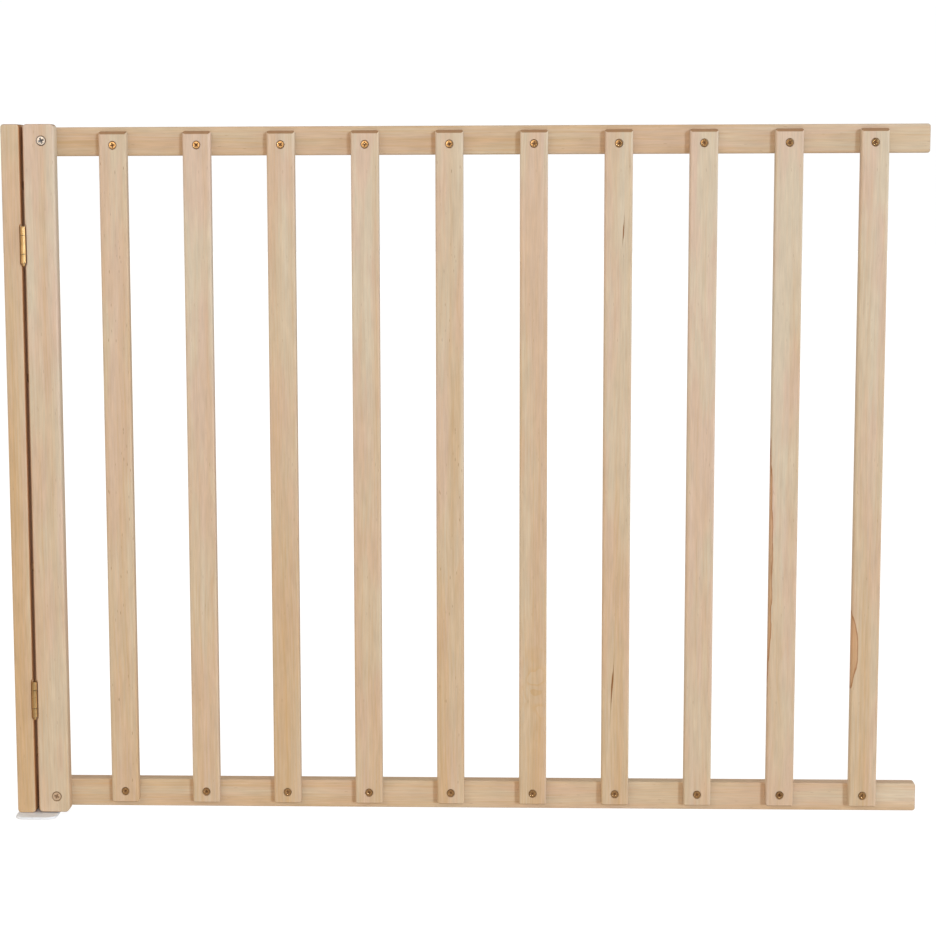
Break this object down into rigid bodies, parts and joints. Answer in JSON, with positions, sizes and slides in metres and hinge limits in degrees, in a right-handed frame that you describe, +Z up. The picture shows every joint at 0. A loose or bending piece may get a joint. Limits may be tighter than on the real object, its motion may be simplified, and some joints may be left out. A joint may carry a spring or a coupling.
{
  "type": "baby gate",
  "caption": "Wall-hinged wooden safety gate with upright slats screwed across two rails, brass butt hinges and free rail ends for catches.",
  "frame": {"origin": "under the middle of the gate's bounding box, at the level of the foot plate's underside", "axes": "+X along the gate from the wall post to the free end, +Y from the front to the back, +Z up"},
  "size_m": [1.0656, 0.0604, 0.815],
  "materials": {
    "post_wood": "bare, sanded smooth",
    "stile_wood": "bare, sanded smooth",
    "rail_wood": "bare, sanded smooth",
    "slat_wood": "bare, sanded smooth",
    "brass": "satin",
    "zinc": "zinc plated",
    "foot_plastic": "matt"
  },
  "bodies": {
    "wall_side": {"wall_post": "post_wood", "foot_plate": "foot_plastic", "foot_plate_screws": "zinc", "upper_hinge_wall_leaf": "brass", "lower_hinge_wall_leaf": "brass", "upper_hinge_pin": "brass", "lower_hinge_pin": "brass", "wall_leaf_screws": "brass"},
    "stile": {"hinge_stile": "stile_wood", "upper_hinge_gate_leaf": "brass", "lower_hinge_gate_leaf": "brass", "gate_leaf_screws": "brass"},
    "top_rail": {"top_rail": "rail_wood", "top_stile_screw": "zinc", "top_slat_screws": "brass"},
    "bottom_rail": {"bottom_rail": "rail_wood", "bottom_stile_screw": "zinc", "bottom_slat_screws": "brass"},
    "slat_01": {"slat_01": "slat_wood"},
    "slat_02": {"slat_02": "slat_wood"},
    "slat_03": {"slat_03": "slat_wood"},
    "slat_04": {"slat_04": "slat_wood"},
    "slat_05": {"slat_05": "slat_wood"},
    "slat_06": {"slat_06": "slat_wood"},
    "slat_07": {"slat_07": "slat_wood"},
    "slat_08": {"slat_08": "slat_wood"},
    "slat_09": {"slat_09": "slat_wood"},
    "slat_10": {"slat_10": "slat_wood"}
  },
  "joints": [
    {"name": "gate_swing", "type": "hinge", "parent": "wall_side", "child": "stile", "pos_m": [-0.5091, -0.00865, 0.409], "axis": [0, 0, -1], "range_deg": [0, 180]},
    {"name": "rail_lift", "type": "hinge", "parent": "stile", "child": "top_rail", "pos_m": [-0.4857, 0.01115, 0.796], "axis": [0, -1, 0], "range_deg": [0, 15]},
    {"name": "bottom_rail_lift", "type": "hinge", "parent": "stile", "child": "bottom_rail", "pos_m": [-0.4857, 0.01115, 0.023], "axis": [0, -1, 0], "range_deg": [0, 15]},
    {"name": "slat_01_tilt", "type": "hinge", "parent": "top_rail", "child": "slat_01", "pos_m": [-0.4042, 0.01115, 0.7905], "axis": [0, -1, 0], "range_deg": [-15.3, 0]},
    {"name": "slat_02_tilt", "type": "hinge", "parent": "top_rail", "child": "slat_02", "pos_m": [-0.3072, 0.01115, 0.7905], "axis": [0, -1, 0], "range_deg": [-15.3, 0]},
    {"name": "slat_03_tilt", "type": "hinge", "parent": "top_rail", "child": "slat_03", "pos_m": [-0.2102, 0.01115, 0.7905], "axis": [0, -1, 0], "range_deg": [-15.3, 0]},
    {"name": "slat_04_tilt", "type": "hinge", "parent": "top_rail", "child": "slat_04", "pos_m": [-0.1132, 0.01115, 0.7905], "axis": [0, -1, 0], "range_deg": [-15.3, 0]},
    {"name": "slat_05_tilt", "type": "hinge", "parent": "top_rail", "child": "slat_05", "pos_m": [-0.0162, 0.01115, 0.7905], "axis": [0, -1, 0], "range_deg": [-15.3, 0]},
    {"name": "slat_06_tilt", "type": "hinge", "parent": "top_rail", "child": "slat_06", "pos_m": [0.0808, 0.01115, 0.7905], "axis": [0, -1, 0], "range_deg": [-15.3, 0]},
    {"name": "slat_07_tilt", "type": "hinge", "parent": "top_rail", "child": "slat_07", "pos_m": [0.1778, 0.01115, 0.7905], "axis": [0, -1, 0], "range_deg": [-15.3, 0]},
    {"name": "slat_08_tilt", "type": "hinge", "parent": "top_rail", "child": "slat_08", "pos_m": [0.2748, 0.01115, 0.7905], "axis": [0, -1, 0], "range_deg": [-15.3, 0]},
    {"name": "slat_09_tilt", "type": "hinge", "parent": "top_rail", "child": "slat_09", "pos_m": [0.3718, 0.01115, 0.7905], "axis": [0, -1, 0], "range_deg": [-15.3, 0]},
    {"name": "slat_10_tilt", "type": "hinge", "parent": "top_rail", "child": "slat_10", "pos_m": [0.4688, 0.01115, 0.7905], "axis": [0, -1, 0], "range_deg": [-15.3, 0]}
  ],
  "couplings": [
    {"joint": "bottom_rail_lift", "follows": "rail_lift", "ratio": 1},
    {"joint": "slat_01_tilt", "follows": "rail_lift", "ratio": -1.0144},
    {"joint": "slat_02_tilt", "follows": "rail_lift", "ratio": -1.0144},
    {"joint": "slat_03_tilt", "follows": "rail_lift", "ratio": -1.0144},
    {"joint": "slat_04_tilt", "follows": "rail_lift", "ratio": -1.0144},
    {"joint": "slat_05_tilt", "follows": "rail_lift", "ratio": -1.0144},
    {"joint": "slat_06_tilt", "follows": "rail_lift", "ratio": -1.0144},
    {"joint": "slat_07_tilt", "follows": "rail_lift", "ratio": -1.0144},
    {"joint": "slat_08_tilt", "follows": "rail_lift", "ratio": -1.0144},
    {"joint": "slat_09_tilt", "follows": "rail_lift", "ratio": -1.0144},
    {"joint": "slat_10_tilt", "follows": "rail_lift", "ratio": -1.0144}
  ]
}
